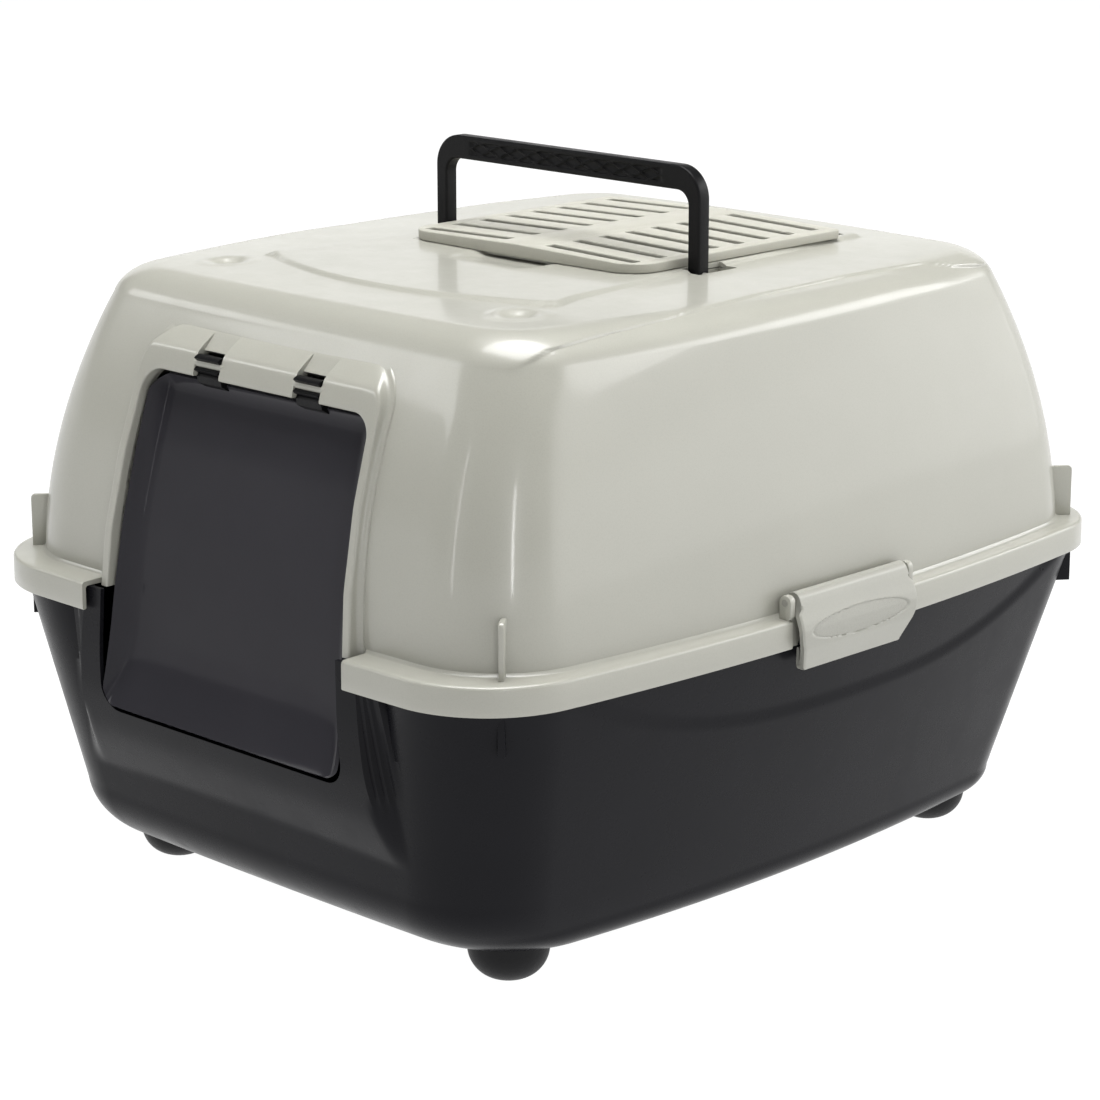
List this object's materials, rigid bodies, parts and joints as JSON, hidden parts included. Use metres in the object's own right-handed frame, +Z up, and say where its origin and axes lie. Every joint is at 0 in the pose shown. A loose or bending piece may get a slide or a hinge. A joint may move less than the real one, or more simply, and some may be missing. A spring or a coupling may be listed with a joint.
{
  "type": "cat litter box with hood",
  "caption": "Hooded cat litter box: deep tray on domed feet, clip-on rounded hood with swinging entry flap, side latches, folding carry handle and slotted filter cover.",
  "frame": {"origin": "on the floor under the middle of the box", "axes": "+Z up, doorway towards -Y, +X to the right of someone facing the doorway"},
  "size_m": [0.4766, 0.5494, 0.4234],
  "materials": {
    "tray_plastic": "glossy moulded charcoal polypropylene",
    "hood_plastic": "glossy moulded warm light grey polypropylene",
    "flap_plastic": "high-gloss smoked black sheet",
    "handle_plastic": "satin black",
    "foot_rubber": "semi-gloss black",
    "filter_pad": "open-cell activated carbon foam",
    "pin_plastic": "satin"
  },
  "bodies": {
    "tray": {"tray": "tray_plastic", "foot_front_left": "foot_rubber", "foot_front_right": "foot_rubber", "foot_rear_left": "foot_rubber", "foot_rear_right": "foot_rubber"},
    "hood": {"hood": "hood_plastic", "filter_holder": "hood_plastic", "carbon_filter": "filter_pad", "latch_pin_left": "pin_plastic", "latch_pin_right": "pin_plastic", "handle_pin_left": "pin_plastic", "handle_pin_right": "pin_plastic"},
    "entry_flap": {"entry_flap": "flap_plastic"},
    "carry_handle": {"carry_handle": "handle_plastic"},
    "filter_cover": {"filter_cover": "hood_plastic"},
    "side_latch_left": {"side_latch_left": "hood_plastic"},
    "side_latch_right": {"side_latch_right": "hood_plastic"}
  },
  "joints": [
    {"name": "hood_lift", "type": "slide", "parent": "tray", "child": "hood", "axis": [0, 0, 1], "range_m": [0, 0.22]},
    {"name": "flap_swing", "type": "hinge", "parent": "hood", "child": "entry_flap", "pos_m": [0, -0.2315, 0.323], "axis": [1, 0, 0], "range_deg": [-75, 55]},
    {"name": "handle_fold", "type": "hinge", "parent": "hood", "child": "carry_handle", "pos_m": [0, 0.01, 0.3605], "axis": [-1, 0, 0], "range_deg": [0, 68]},
    {"name": "filter_cover_slide", "type": "slide", "parent": "hood", "child": "filter_cover", "axis": [0, -0.9848, 0.1736], "range_m": [0, 0.21]},
    {"name": "side_latch_right_open", "type": "hinge", "parent": "hood", "child": "side_latch_right", "pos_m": [0.227, 0, 0.203], "axis": [0, -1, 0], "range_deg": [0, 95]},
    {"name": "side_latch_left_open", "type": "hinge", "parent": "hood", "child": "side_latch_left", "pos_m": [-0.227, 0, 0.203], "axis": [0, 1, 0], "range_deg": [0, 95]}
  ]
}
